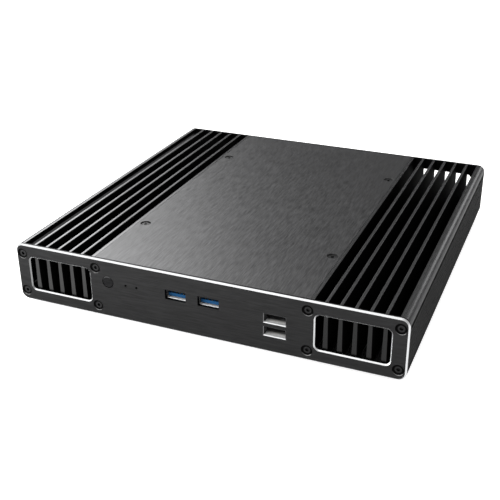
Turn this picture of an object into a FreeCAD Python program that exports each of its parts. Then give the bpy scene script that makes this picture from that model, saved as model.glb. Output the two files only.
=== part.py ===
"""Fanless desktop computer in a low aluminium case.

Two finned heatsink extrusions form the sides. A top cover and a bottom cover are screwed to
their ledges, and a front and a rear panel are screwed to their ends. The origin is on the floor
under the middle of the case: +X to the right seen from the front, +Y to the rear, +Z up.
"""
import FreeCAD, Part
import math
import os
import re
import Sketcher

Vector = FreeCAD.Vector

SIZES = {
    # case
    "case_wide": 247.5,
    "case_deep": 244,
    "case_tall": 38.5,
    "panel_thick": 2,
    "cover_thick": 3,
    "bevel": 0.9,
    "edge_round": 5,
    "seam": 0.2,
    # heatsink section
    "rim_inner": 68.1,
    "rim_thick": 2,
    "ledge_inner": 58.2,
    "ledge_tall": 6.5,
    "web_tall": 4,
    "wall_thick": 4.5,
    "bead_wide": 5.85,
    "bead_tall": 9.5,
    "first_fin": 77.07,
    "fin_pitch": 8.33,
    "fin_count": 5,
    "fin_tip": 1.8,
    "fin_taper": 0.035,
    "fin_round": 0.3,
    "boss_radius": 3.4,
    # lengthwise grooves in the outer wall: two wide ones, with fine ones between them
    "groove_high": 32.35,
    "groove_wide": 1.7,
    "groove_deep": 1,
    "rib_pitch": 3,
    "rib_count": 7,
    "rib_gap": 0.6,
    "rib_deep": 0.4,
    # openings for air
    "grille_middle": 92.85,
    "grille_wide": 42.7,
    "grille_tall": 22,
    "grille_round": 2.9,
    "grille_bevel": 0.7,
    # M3 countersunk screws
    "screw_radius": 1.45,
    "tapped_radius": 1.5,
    "clear_hole": 3.4,
    "sink_wide": 6.8,
    "head_radius": 2.75,
    "head_set": 0.6,
    "socket_radius": 1.15,
    "socket_deep": 1.1,
    "pan_radius": 2.7,
    "pan_tall": 1.2,
    "pan_socket_deep": 0.7,
    "outer_screw": 119,
    "inner_screw": 67.1,
    "screw_rise": 12.75,
    "cover_screw": 63.2,
    "cover_screw_deep": 66.3,
    # feet
    "foot_tall": 3,
    "foot_radius": 7,
    "foot_across": 95,
    "foot_along": 100,
    "foot_edge": 0.5,
    "foot_hole_deep": 3.5,
    "recess_radius": 3.1,
    "recess_deep": 1.7,
    # base plate threads for a 100 mm screen-mount bracket
    "vesa_pitch": 100,
    "vesa_radius": 2,
    # 2.5 inch drive
    "drive_wide": 69.85,
    "drive_long": 100,
    "drive_tall": 7,
    "drive_holes_wide": 61.72,
    "drive_holes_long": 76.6,
    # power button and lamps
    "button_across": 58.95,
    "button_high": 24,
    "button_radius": 3.55,
    "button_gap": 0.25,
    "button_bevel": 0.3,
    "flange_reach": 1,
    "stem_radius": 1.5,
    "lamp_first": 46.85,
    "lamp_second": 39.6,
    "pipe_radius": 0.75,
    "pipe_gap": 0.05,
    "barrel_radius": 1.2,
    # USB sockets
    "usb_slot_wide": 13.4,
    "usb_slot_tall": 6.2,
    "usb3_high": 23.9,
    "usb3_left": 13.95,
    "usb3_right": 7.05,
    "usb3_set": 2.1,
    "usb3_board_high": 26.7,
    "usb2_across": 47.85,
    "usb2_slot_wide": 12.9,
    "usb2_slot_tall": 5.3,
    "usb2_upper": 21.75,
    "usb2_lower": 13.4,
    "usb2_bevel": 0.4,
    # boards
    "board_thick": 1.6,
    "board_side": 101.6,
    "board_high": 27.3,
    "board_inset": 4,
    "board_rear": 118.8,
    "post_radius": 2.75,
    "socket_gap": 0.3,
}

doc = FreeCAD.newDocument("fanless_computer")
dims = doc.addObject("Spreadsheet::Sheet", "dims")
for row, (name, number) in enumerate(SIZES.items(), start=1):
    dims.set(f"A{row}", name)
    dims.set(f"B{row}", str(number))
    dims.setAlias(f"B{row}", name)
doc.recompute()

# Levels and planes of the case, as expressions over the sheet
BASE = "foot_tall"
FLOOR = "(foot_tall + cover_thick)"
TOP = "(foot_tall + case_tall)"
CEILING = "(foot_tall + case_tall - cover_thick)"
MIDDLE = "(foot_tall + case_tall / 2)"
FACE = "(case_deep / 2)"
INSIDE = "(case_deep / 2 - panel_thick)"
BOARD_UNDER = "(foot_tall + board_high)"
BOARD_OVER = "(foot_tall + board_high + board_thick)"
BOTH_SIDES = (-1, 1)

nodes = {}


def linked(text):
    """Write out an expression over size names as one over the sheet's cells."""
    return re.sub(r"[a-z]\w*", lambda word: "dims." + word.group(), str(text))


def size(text):
    """Value of an expression over size names."""
    return float(dims.evalExpression(linked(text)))


def bind(target, path, text):
    """Tie one property of an object to the sheet."""
    target.setExpression(path, linked(text))


def put(target, x="0", y="0", z="0", rotation=None):
    """Place an object at three expressions, turned by an optional rotation."""
    if rotation is not None:
        target.Placement.Rotation = rotation
    for axis, text in zip("xyz", (x, y, z)):
        bind(target, f"Placement.Base.{axis}", text)
    return target


def node(label, target):
    """Register a finished sub-part under its own label."""
    target.Label = label
    nodes[label] = target
    return target


# ---- sketches and part-design features ----


def new_body(label, z="0"):
    body = doc.addObject("PartDesign::Body", label)
    put(body, z=z)
    return node(label, body)


def new_sketch(body, role, offset="0"):
    """Sketch on one of the body's origin planes, moved along that plane's normal."""
    sketch = body.newObject("Sketcher::SketchObject", f"{body.Label}_sketch")
    plane = next(item for item in body.Origin.OriginFeatures if item.Role == role)
    sketch.AttachmentSupport = [(plane, "")]
    sketch.MapMode = "FlatFace"
    bind(sketch, "AttachmentOffset.Base.z", offset)
    return sketch


def fix(sketch, kind, *items, text):
    """Dimension tied to the sheet."""
    index = sketch.addConstraint(Sketcher.Constraint(kind, *items, size(text)))
    bind(sketch, f"Constraints[{index}]", text)


def draw_outline(sketch, points):
    """Closed outline of straight lines through points given as pairs of expressions."""
    corners = [Vector(size(across), size(along), 0) for across, along in points]
    first = sketch.GeometryCount
    count = len(points)
    for i in range(count):
        sketch.addGeometry(Part.LineSegment(corners[i], corners[(i + 1) % count]))
    for i, (across, along) in enumerate(points):
        following = first + (i + 1) % count
        sketch.addConstraint(Sketcher.Constraint("Coincident", first + i, 2, following, 1))
        fix(sketch, "DistanceX", -1, 1, first + i, 1, text=across)
        fix(sketch, "DistanceY", -1, 1, first + i, 1, text=along)


def draw_rectangle(sketch, across, along, wide, tall):
    """Rectangle about a centre."""
    left, right = f"{across} - {wide} / 2", f"{across} + {wide} / 2"
    low, high = f"{along} - {tall} / 2", f"{along} + {tall} / 2"
    draw_outline(sketch, [(left, low), (right, low), (right, high), (left, high)])


def draw_rounded(sketch, across, along, wide, tall, radius):
    """Rectangle about a centre with rounded corners."""
    left, right = f"{across} - {wide} / 2", f"{across} + {wide} / 2"
    low, high = f"{along} - {tall} / 2", f"{along} + {tall} / 2"
    x0, x1, y0, y1, round_ = (size(text) for text in (left, right, low, high, radius))
    centres = [(x1 - round_, y0 + round_), (x1 - round_, y1 - round_)]
    centres += [(x0 + round_, y1 - round_), (x0 + round_, y0 + round_)]
    arcs = []
    for turn, (x, y) in enumerate(centres):
        circle = Part.Circle(Vector(x, y, 0), Vector(0, 0, 1), round_)
        start = math.radians(90 * turn - 90)
        arcs.append(sketch.addGeometry(Part.ArcOfCircle(circle, start, start + math.pi / 2)))
    ends = [sketch.Geometry[arc] for arc in arcs]
    lines = []
    for turn in range(4):
        line = Part.LineSegment(ends[turn - 1].EndPoint, ends[turn].StartPoint)
        lines.append(sketch.addGeometry(line))
        sketch.addConstraint(Sketcher.Constraint("Tangent", arcs[turn - 1], 2, lines[turn], 1))
        sketch.addConstraint(Sketcher.Constraint("Tangent", lines[turn], 2, arcs[turn], 1))
        direction = "Vertical" if turn % 2 else "Horizontal"
        sketch.addConstraint(Sketcher.Constraint(direction, lines[turn]))
    for arc in arcs[1:]:
        sketch.addConstraint(Sketcher.Constraint("Equal", arcs[0], arc))
    fix(sketch, "Radius", arcs[0], text=radius)
    for line, kind, text in zip(lines, ("DistanceY", "DistanceX") * 2, (low, right, high, left)):
        fix(sketch, kind, -1, 1, line, 1, text=text)


def draw_circle(sketch, across, along, radius):
    centre = Vector(size(across), size(along), 0)
    circle = sketch.addGeometry(Part.Circle(centre, Vector(0, 0, 1), size(radius)))
    fix(sketch, "DistanceX", -1, 1, circle, 3, text=across)
    fix(sketch, "DistanceY", -1, 1, circle, 3, text=along)
    fix(sketch, "Radius", circle, text=radius)


def pad(body, sketch, length, symmetric=False):
    feature = body.newObject("PartDesign::Pad", f"{body.Label}_pad")
    feature.Profile = sketch
    feature.SideType = "Symmetric" if symmetric else "One side"
    bind(feature, "Length", length)
    doc.recompute()
    return feature


def pocket(body, sketch, depth=None, backward=False):
    """Pocket of a depth, or right through both ways without one. It has to remove material."""
    before = body.Shape.Volume
    feature = body.newObject("PartDesign::Pocket", f"{body.Label}_pocket")
    feature.Profile = sketch
    feature.Reversed = backward
    if depth is None:
        feature.SideType = "Symmetric"
        feature.Type = "ThroughAll"
    else:
        bind(feature, "Length", depth)
    doc.recompute()
    if not body.Shape.Volume < before:
        raise RuntimeError(f"a pocket in {body.Label} cuts nothing")
    return feature


def countersink(body, sketch, backward=False):
    """Screw clearance holes through the body, countersunk at the sketch's plane."""
    doc.recompute()
    feature = body.newObject("PartDesign::Hole", f"{body.Label}_hole")
    feature.Profile = sketch
    feature.Reversed = backward
    feature.ThreadType = "None"
    feature.DepthType = "ThroughAll"
    feature.HoleCutType = "Countersink"
    feature.HoleCutCustomValues = True
    bind(feature, "Diameter", "clear_hole")
    bind(feature, "HoleCutDiameter", "sink_wide")
    feature.HoleCutCountersinkAngle = 90
    doc.recompute()
    return feature


def edges_where(shape, test):
    """Names of the edges whose bounding boxes pass a test."""
    return [f"Edge{i}" for i, edge in enumerate(shape.Edges, start=1) if test(edge.BoundBox)]


def dress(body, kind, base, amount, test):
    """Fillet or chamfer the edges of a feature that pass a test."""
    feature = body.newObject(f"PartDesign::{kind}", f"{body.Label}_{kind.lower()}")
    feature.Base = (base, edges_where(base.Shape, test))
    bind(feature, "Radius" if kind == "Fillet" else "Size", amount)
    doc.recompute()
    return feature


# ---- primitives, booleans and groups ----


def block(name, centre, sizes):
    """Box by the middle of its underside and its three sizes."""
    (x, y, z), (wide, deep, tall) = centre, sizes
    box = doc.addObject("Part::Box", name)
    for side, text in zip(("Length", "Width", "Height"), sizes):
        bind(box, side, text)
    return put(box, f"{x} - ({wide}) / 2", f"{y} - ({deep}) / 2", z)


TURNS = {
    "x": FreeCAD.Rotation(Vector(0, 1, 0), 90),
    "y": FreeCAD.Rotation(Vector(1, 0, 0), -90),
    "z": FreeCAD.Rotation(),
}


def rod(name, start, axis, radius, length):
    """Cylinder from a point along +X, +Y or +Z."""
    cylinder = doc.addObject("Part::Cylinder", name)
    bind(cylinder, "Radius", radius)
    bind(cylinder, "Height", length)
    return put(cylinder, *start, rotation=TURNS[axis])


def fuse(name, pieces):
    joined = doc.addObject("Part::MultiFuse", name)
    joined.Shapes = pieces
    return joined


def cut(name, base, tools):
    remainder = doc.addObject("Part::Cut", name)
    remainder.Base = base
    remainder.Tool = tools[0] if len(tools) == 1 else group(f"{name}_tools", tools)
    return remainder


def group(name, pieces):
    """Several solids held as one sub-part."""
    compound = doc.addObject("Part::Compound", name)
    compound.Links = pieces
    return compound


def copies(name, master, places, rotation=None):
    """The same piece at several places."""
    links = []
    for place in places:
        link = doc.addObject("App::Link", f"{name}_copy")
        link.LinkedObject = master
        links.append(put(link, *place, rotation=rotation))
    return links


def copy_group(name, master, places, rotation=None):
    """Identical pieces as one sub-part of separate solids."""
    return node(name, group(name, copies(name, master, places, rotation)))


# ---- case ----


def make_heatsink(label, side):
    """Extrusion with an outer wall, fins, an inner wall and two cover ledges."""

    def out(text):
        return f"{side} * ({text})"

    body = new_body(label, z=BASE)
    length = "case_deep - 2 * panel_thick"
    wall = "case_wide / 2 - wall_thick"
    bead = "case_wide / 2 - bead_wide"
    section = [
        ("rim_inner", "0"),
        ("case_wide / 2", "0"),
        ("case_wide / 2", "case_tall"),
        (bead, "case_tall"),
        (bead, "case_tall - bead_tall"),
        (wall, "case_tall - bead_tall - bead_wide + wall_thick"),
        (wall, "web_tall"),
        ("rim_inner + rim_thick", "web_tall"),
        ("rim_inner + rim_thick", "case_tall"),
        ("rim_inner", "case_tall"),
        ("rim_inner", "case_tall - cover_thick"),
        ("ledge_inner", "case_tall - cover_thick"),
        ("ledge_inner", "case_tall - cover_thick - ledge_tall"),
        ("rim_inner", "case_tall - cover_thick - ledge_tall"),
        ("rim_inner", "cover_thick + ledge_tall"),
        ("ledge_inner", "cover_thick + ledge_tall"),
        ("ledge_inner", "cover_thick"),
        ("rim_inner", "cover_thick"),
    ]
    shell = new_sketch(body, "XZ_Plane")
    draw_outline(shell, [(out(across), high) for across, high in section])
    pad(body, shell, length, symmetric=True)

    # the outermost long edges are rounded while the section is still simple
    limit = size("case_wide") / 2
    dress(body, "Fillet", body.Tip, "edge_round",
          lambda box: abs(abs(box.Center.x) - limit) < 0.01 and box.ZLength < 0.01)

    fin = new_sketch(body, "XZ_Plane")
    root = "(fin_tip + fin_taper * (case_tall - web_tall + 1)) / 2"
    draw_outline(fin, [
        (out(f"first_fin - {root}"), "web_tall - 1"),
        (out(f"first_fin + {root}"), "web_tall - 1"),
        (out("first_fin + fin_tip / 2"), "case_tall"),
        (out("first_fin - fin_tip / 2"), "case_tall"),
    ])
    first_fin = pad(body, fin, length, symmetric=True)
    pattern = body.newObject("PartDesign::LinearPattern", f"{label}_fins")
    pattern.Originals = [first_fin]
    pattern.Direction = (fin, ["H_Axis"])
    pattern.Reversed = side < 0
    bind(pattern, "Length", "fin_pitch * (fin_count - 1)")
    bind(pattern, "Occurrences", "fin_count")
    body.Tip = pattern
    doc.recompute()
    top, first, last = size("case_tall"), size("rim_inner + rim_thick"), size(bead)
    dress(body, "Fillet", pattern, "fin_round",
          lambda box: abs(box.Center.z - top) < 0.01 and box.YLength > 1
          and first + 0.1 < abs(box.Center.x) < last - 0.1)

    bosses = new_sketch(body, "XZ_Plane")
    channels = new_sketch(body, "XZ_Plane")
    for rise in BOTH_SIDES:
        high = f"case_tall / 2 + {rise} * screw_rise"
        draw_circle(bosses, out("outer_screw"), high, "boss_radius")
        for across in ("outer_screw", "inner_screw"):
            draw_circle(channels, out(across), high, "tapped_radius")
    pad(body, bosses, length, symmetric=True)
    pocket(body, channels)

    grooves = new_sketch(body, "XZ_Plane")
    for high in ("groove_high", "case_tall - groove_high"):
        draw_rectangle(grooves, out("case_wide / 2"), high, "(2 * groove_deep)", "groove_wide")
    for step in range(int(size("rib_count"))):
        high = f"case_tall / 2 + ({step} - (rib_count - 1) / 2) * rib_pitch"
        draw_rectangle(grooves, out("case_wide / 2"), high, "(2 * rib_deep)", "rib_gap")
    pocket(body, grooves)

    cover_holes = new_sketch(body, "XY_Plane")
    foot_holes = new_sketch(body, "XY_Plane")
    for end in BOTH_SIDES:
        draw_circle(cover_holes, out("cover_screw"), f"{end} * cover_screw_deep", "tapped_radius")
        draw_circle(foot_holes, out("foot_across"), f"{end} * foot_along", "tapped_radius")
    pocket(body, cover_holes)
    pocket(body, foot_holes, "foot_hole_deep", backward=True)


make_heatsink("left_heatsink", -1)
make_heatsink("right_heatsink", 1)

CORNERS = [(side, end) for side in BOTH_SIDES for end in BOTH_SIDES]
COVER_SCREWS = [(f"{side} * cover_screw", f"{end} * cover_screw_deep") for side, end in CORNERS]

# Bottom holes of a 2.5 inch drive, seen from the middle of the drive
DRIVE_X, DRIVE_Y = "-10", "-58"
DRIVE_SCREWS = [(f"{DRIVE_X} + {side} * drive_holes_wide / 2",
                 f"{DRIVE_Y} + {end} * drive_holes_long / 2") for side, end in CORNERS]


def make_cover(label, low, outer, screws, threads=()):
    """Flat plate between the heatsinks. `outer` is the height of its outward face."""
    body = new_body(label)
    plate = new_sketch(body, "XY_Plane", low)
    wide, deep = "(2 * (rim_inner - seam))", "(2 * (case_deep / 2 - panel_thick - seam))"
    draw_rectangle(plate, "0", "0", wide, deep)
    pad(body, plate, "cover_thick")
    if threads:
        tapped = new_sketch(body, "XY_Plane", outer)
        for x, y in threads:
            draw_circle(tapped, x, y, "vesa_radius")
        pocket(body, tapped)
    holes = new_sketch(body, "XY_Plane", outer)
    for x, y in screws:
        draw_circle(holes, x, y, "tapped_radius")
    countersink(body, holes, backward=low == outer)


VESA = [(f"{side} * vesa_pitch / 2", f"{end} * vesa_pitch / 2") for side, end in CORNERS]
make_cover("top_cover", CEILING, TOP, COVER_SCREWS)
make_cover("bottom_cover", BASE, BASE, COVER_SCREWS + DRIVE_SCREWS, threads=VESA)


def make_panel(label, draw_sockets, bevelled):
    """End panel, made with its outward face towards -Y."""
    body = new_body(label)
    outline = new_sketch(body, "XZ_Plane", INSIDE)
    draw_rounded(outline, "0", MIDDLE, "case_wide", "case_tall", "edge_round")
    plate = pad(body, outline, "panel_thick")
    face = -size(FACE)
    dress(body, "Chamfer", plate, "bevel", lambda box: box.YMax < face + 0.01)

    grilles = new_sketch(body, "XZ_Plane", FACE)
    for side in BOTH_SIDES:
        draw_rounded(grilles, f"{side} * grille_middle", MIDDLE, "grille_wide", "grille_tall",
                     "grille_round")
    plate = pocket(body, grilles, "panel_thick")
    low, high = (size(f"{MIDDLE} + {side} * (grille_tall / 2 + 0.01)") for side in BOTH_SIDES)
    across = size("grille_middle + grille_wide / 2 + 0.01")
    dress(body, "Chamfer", plate, "grille_bevel",
          lambda box: box.YMax < face + 0.01 and abs(box.Center.x) < across
          and low < box.ZMin and box.ZMax < high)

    sockets = new_sketch(body, "XZ_Plane", FACE)
    draw_sockets(sockets)
    pocket(body, sockets, "panel_thick")
    if bevelled:
        slots = new_sketch(body, "XZ_Plane", FACE)
        for high in ("usb2_upper", "usb2_lower"):
            draw_rectangle(slots, "usb2_across", f"foot_tall + {high}", "usb2_slot_wide",
                           "usb2_slot_tall")
        cut_slots = pocket(body, slots, "panel_thick")
        middle, half = size("usb2_across"), size("usb2_slot_wide") / 2 + 0.01
        dress(body, "Chamfer", cut_slots, "usb2_bevel",
              lambda box: box.YMax < face + 0.01 and abs(box.Center.x - middle) < half
              and box.XLength < 2 * half and box.ZLength < 2 * half)

    holes = new_sketch(body, "XZ_Plane", FACE)
    for side in BOTH_SIDES:
        for across in ("outer_screw", "inner_screw"):
            for rise in BOTH_SIDES:
                draw_circle(holes, f"{side} * {across}", f"{MIDDLE} + {rise} * screw_rise",
                            "tapped_radius")
    countersink(body, holes)
    return body


def draw_front_sockets(sketch):
    for across in ("-usb3_left", "usb3_right"):
        draw_rectangle(sketch, across, "foot_tall + usb3_high", "usb_slot_wide", "usb_slot_tall")
    high = "foot_tall + button_high"
    draw_circle(sketch, "-button_across", high, "button_radius + button_gap")
    for across in ("-lamp_first", "-lamp_second"):
        draw_circle(sketch, across, high, "pipe_radius + pipe_gap")


# Rear sockets: middle measured to the right seen from the rear, width, height, length
NETWORK = ("-10", "15.9", "13.3", "20")
DOUBLE_USB = ("-33", "14.4", "15.6", "17")
WIDE_VIDEO = ("24.5", "14.9", "5.5", "11.5")
SMALL_VIDEO = ("10", "8.3", "5.4", "10.5")
POWER = ("38", "9", "10.8", "13.5")
REAR_FACE = "0.8"
AERIAL_RADIUS, AERIAL_HIGH = "3.2", "foot_tall + 14"


def draw_rear_sockets(sketch):
    for across, wide, tall, _ in (NETWORK, DOUBLE_USB, WIDE_VIDEO, SMALL_VIDEO, POWER):
        draw_rectangle(sketch, across, f"{BOARD_UNDER} - {tall} / 2", f"({wide} + 2 * socket_gap)",
                       f"({tall} + 2 * socket_gap)")
    for side in BOTH_SIDES:
        draw_circle(sketch, f"{side} * button_across", AERIAL_HIGH, f"{AERIAL_RADIUS} + 0.1")


make_panel("front_panel", draw_front_sockets, True)
HALF_TURN = FreeCAD.Rotation(Vector(0, 0, 1), 180)
put(make_panel("rear_panel", draw_rear_sockets, False), rotation=HALF_TURN)


# ---- fasteners ----


def make_countersunk_screw(name, length):
    """M3 screw along -Z with its head level with the origin and a hexagon socket."""
    depth = "(head_radius - screw_radius)"
    head = doc.addObject("Part::Cone", f"{name}_head")
    bind(head, "Radius1", "screw_radius")
    bind(head, "Radius2", "head_radius")
    bind(head, "Height", depth)
    put(head, z=f"-head_set - {depth}")
    shank = rod(f"{name}_shank", ("0", "0", f"-{length}"), "z", "screw_radius",
                f"{length} - head_set - {depth}")
    socket = doc.addObject("Part::Prism", f"{name}_socket")
    socket.Polygon = 6
    bind(socket, "Circumradius", "socket_radius")
    bind(socket, "Height", "socket_deep + head_set")
    put(socket, z="-head_set - socket_deep")
    return cut(name, fuse(f"{name}_solid", [head, shank]), [socket])


def make_pan_screw(name, length):
    """M3 pan-head screw along -Z, its head standing on the origin's plane."""
    head = rod(f"{name}_head", ("0", "0", "0"), "z", "pan_radius", "pan_tall")
    shank = rod(f"{name}_shank", ("0", "0", f"-{length}"), "z", "screw_radius", length)
    slot = doc.addObject("Part::Prism", f"{name}_socket")
    slot.Polygon = 6
    bind(slot, "Circumradius", "socket_radius")
    bind(slot, "Height", "pan_socket_deep + 0.3")
    put(slot, z="pan_tall - pan_socket_deep")
    return cut(name, fuse(f"{name}_solid", [head, shank]), [slot])


DOWN = FreeCAD.Rotation(Vector(1, 0, 0), 180)
FACING_FRONT = FreeCAD.Rotation(Vector(1, 0, 0), 90)
FACING_REAR = FreeCAD.Rotation(Vector(1, 0, 0), -90)

panel_screw = make_countersunk_screw("panel_screw", "10")
cover_screw = make_countersunk_screw("cover_screw", "8")
short_screw = make_countersunk_screw("short_screw", "5.4")

PANEL_SCREWS = [(f"{side} * {across}", f"{MIDDLE} + {rise} * screw_rise")
                for side in BOTH_SIDES for across in ("outer_screw", "inner_screw")
                for rise in BOTH_SIDES]
copy_group("front_panel_screws", panel_screw, [(x, f"-{FACE}", z) for x, z in PANEL_SCREWS],
           FACING_FRONT)
copy_group("rear_panel_screws", panel_screw, [(x, FACE, z) for x, z in PANEL_SCREWS], FACING_REAR)
copy_group("top_cover_screws", cover_screw, [(x, y, TOP) for x, y in COVER_SCREWS])
copy_group("bottom_cover_screws", cover_screw, [(x, y, BASE) for x, y in COVER_SCREWS], DOWN)
copy_group("drive_screws", short_screw, [(x, y, BASE) for x, y in DRIVE_SCREWS], DOWN)

# Rubber feet with a sunk screw each
foot_tread = doc.addObject("Part::Cone", "foot_tread")
bind(foot_tread, "Radius1", "foot_radius - foot_edge")
bind(foot_tread, "Radius2", "foot_radius")
bind(foot_tread, "Height", "foot_edge")
foot_side = rod("foot_side", ("0", "0", "foot_edge"), "z", "foot_radius", "foot_tall - foot_edge")
foot_disc = fuse("foot_disc", [foot_tread, foot_side])
foot_recess = rod("foot_recess", ("0", "0", "-0.1"), "z", "recess_radius", "recess_deep + 0.1")
foot_hole = rod("foot_hole", ("0", "0", "0"), "z", "tapped_radius + 0.05", "foot_tall")
foot = cut("foot", foot_disc, [foot_recess, foot_hole])
FEET = [(f"{side} * foot_across", f"{end} * foot_along") for side, end in CORNERS]
copy_group("rubber_feet", foot, [(x, y, "0") for x, y in FEET])
foot_screw = make_pan_screw("foot_screw", "4.6")
copy_group("foot_screws", foot_screw, [(x, y, "recess_deep") for x, y in FEET], DOWN)


# ---- power button and lamps ----

BUTTON_Z = "foot_tall + button_high"
BUTTON_BOARD_Y = "-113"
crown = doc.addObject("Part::Cone", "button_crown")
bind(crown, "Radius1", "button_radius - button_bevel")
bind(crown, "Radius2", "button_radius")
bind(crown, "Height", "button_bevel")
put(crown, "-button_across", f"-{FACE}", BUTTON_Z, rotation=TURNS["y"])
cap = rod("button_cap", ("-button_across", f"-{FACE} + button_bevel", BUTTON_Z), "y",
          "button_radius", "panel_thick + 0.1 - button_bevel")
flange = rod("button_flange", ("-button_across", f"-{INSIDE} + 0.05", BUTTON_Z), "y",
             "button_radius + flange_reach", "1")
stem = rod("button_stem", ("-button_across", f"-{INSIDE} + 0.5", BUTTON_Z), "y", "stem_radius", "1.5")
node("power_button", fuse("power_button", [crown, cap, flange, stem]))

SWITCH_DEEP, PLUNGER_OUT, PLUNGER_RADIUS = "3.6", "1.35", "1.7"
housing = block("switch_block", ("-button_across", f"{BUTTON_BOARD_Y} - {SWITCH_DEEP} / 2",
                                 f"{BUTTON_Z} - 3"), ("6", SWITCH_DEEP, "6"))
bore = rod("switch_bore", ("-button_across", f"{BUTTON_BOARD_Y} - {SWITCH_DEEP} - 0.1", BUTTON_Z),
           "y", f"{PLUNGER_RADIUS} + 0.05", "2.6")
node("power_switch_housing", cut("power_switch_housing", housing, [bore]))
plunger = rod("plunger", ("-button_across", f"{BUTTON_BOARD_Y} - {SWITCH_DEEP} - {PLUNGER_OUT}",
                          BUTTON_Z), "y", PLUNGER_RADIUS, f"{PLUNGER_OUT} + 1.6")
node("power_switch_plunger", plunger)

button_plate = block("button_plate", ("-49.5", f"{BUTTON_BOARD_Y} + board_thick / 2",
                                      "foot_tall + 15"), ("33", "board_thick", "13.5"))
BUTTON_POSTS = [("-53.2", "foot_tall + 17.8"), ("-36", "foot_tall + 17.8")]
button_holes = [rod("button_board_hole", (x, BUTTON_BOARD_Y, z), "y", "tapped_radius",
                    "board_thick") for x, z in BUTTON_POSTS]
node("button_board", cut("button_board", button_plate, button_holes))

LAMPS = ("-lamp_first", "-lamp_second")
node("status_lamps", group("status_lamps", [
    block("lamp_chip", (x, f"{BUTTON_BOARD_Y} - 0.4", f"{BUTTON_Z} - 0.6"), ("2", "0.8", "1.2"))
    for x in LAMPS]))
light_pipes = []
for x in LAMPS:
    tip = rod("pipe_tip", (x, f"-{FACE}", BUTTON_Z), "y", "pipe_radius", "panel_thick + 0.1")
    barrel = rod("pipe_barrel", (x, f"-{INSIDE} + 0.05", BUTTON_Z), "y", "barrel_radius",
                 f"{INSIDE} + {BUTTON_BOARD_Y} - 0.9")
    light_pipes.append(fuse("light_pipe", [tip, barrel]))
node("light_pipes", group("light_pipes", light_pipes))


def make_posts(label, places, axis, length):
    """Round threaded posts from given points, hollow for a screw."""
    posts = []
    for place in places:
        outer = rod(f"{label}_outer", place, axis, "post_radius", length)
        inner = rod(f"{label}_inner", place, axis, "tapped_radius", length)
        posts.append(cut(f"{label}_post", outer, [inner]))
    node(label, group(label, posts))


make_posts("button_board_posts", [(x, f"-{INSIDE}", z) for x, z in BUTTON_POSTS], "y",
           f"{INSIDE} + {BUTTON_BOARD_Y}")


# ---- sockets ----

MOUTH_WIDE, MOUTH_TALL = "12.6", "5.3"
TONGUE_WIDE, TONGUE_TALL = "11.6", "1.9"
TONGUE_BACK = ("12.5", "3", "5.2")
USB3_SHELL = ("13.2", "13", "5.9")
USB2_SHELL = ("14", "14", "16.3")


def make_usb_shell(x, front, low, sizes, levels):
    """Metal shell with one mouth towards -Y at each level, open at the front only."""
    y = f"{front} + {sizes[1]} / 2"
    shell = block("usb_block", (x, y, low), sizes)
    mouths = [block("usb_mouth", (x, f"{y} - 1", f"{level} - {MOUTH_TALL} / 2"),
                    (MOUTH_WIDE, sizes[1], MOUTH_TALL)) for level in levels]
    return cut("usb_shell", shell, mouths)


def make_tongue(x, front, deep, level, lift, set_back):
    """Contact tongue set back in a mouth, `lift` above its middle, on a block that fills the end."""
    tongue = block("tongue", (x, f"{front} + ({deep} - 1 + {set_back}) / 2",
                              f"{level} + {lift} - {TONGUE_TALL} / 2"),
                   (TONGUE_WIDE, f"{deep} - 1 - {set_back}", TONGUE_TALL))
    back = block("tongue_back", (x, f"{front} + {deep} - 2.5", f"{level} - {TONGUE_BACK[2]} / 2"),
                 TONGUE_BACK)
    return fuse("usb_tongue", [tongue, back])


# Two USB 3 sockets hang upside down from their board, tongues low
USB3_X = ("-usb3_left", "usb3_right")
USB3_FRONT = "(usb3_set - case_deep / 2)"
USB3_UNDER = "(foot_tall + usb3_board_high)"
USB3_LEVEL = f"({USB3_UNDER} - {USB3_SHELL[2]} / 2)"
node("front_usb3_shells", group("front_usb3_shells", [
    make_usb_shell(x, USB3_FRONT, f"{USB3_UNDER} - {USB3_SHELL[2]}", USB3_SHELL, [USB3_LEVEL])
    for x in USB3_X]))
node("front_usb3_tongues", group("front_usb3_tongues", [
    make_tongue(x, USB3_FRONT, "12", USB3_LEVEL, "-0.85", "1") for x in USB3_X]))

# Two stacked USB 2 sockets stand on their board, tongues high
USB2_FRONT = f"(-{INSIDE} + 0.1)"
USB2_LEVELS = [f"(foot_tall + {level})" for level in ("usb2_upper", "usb2_lower")]
USB2_BOARD = "(foot_tall + 7.8)"
usb2_shell = make_usb_shell("usb2_across", USB2_FRONT, f"{USB2_BOARD} + board_thick", USB2_SHELL,
                            USB2_LEVELS)
node("front_usb2_shell", usb2_shell)
node("front_usb2_tongues", group("front_usb2_tongues", [
    make_tongue("usb2_across", USB2_FRONT, "13", level, "1.05", "0.5") for level in USB2_LEVELS]))


def make_board(label, centre, wide, deep, holes):
    """Circuit board with screw holes."""
    x, y, low = centre
    plate = block(f"{label}_plate", centre, (wide, deep, "board_thick"))
    drilled = [rod(f"{label}_hole", (f"{x} + {across}", f"{y} + {along}", low), "z",
                   "tapped_radius", "board_thick") for across, along in holes]
    node(label, cut(label, plate, drilled))
    return [(f"{x} + {across}", f"{y} + {along}") for across, along in holes]


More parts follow.
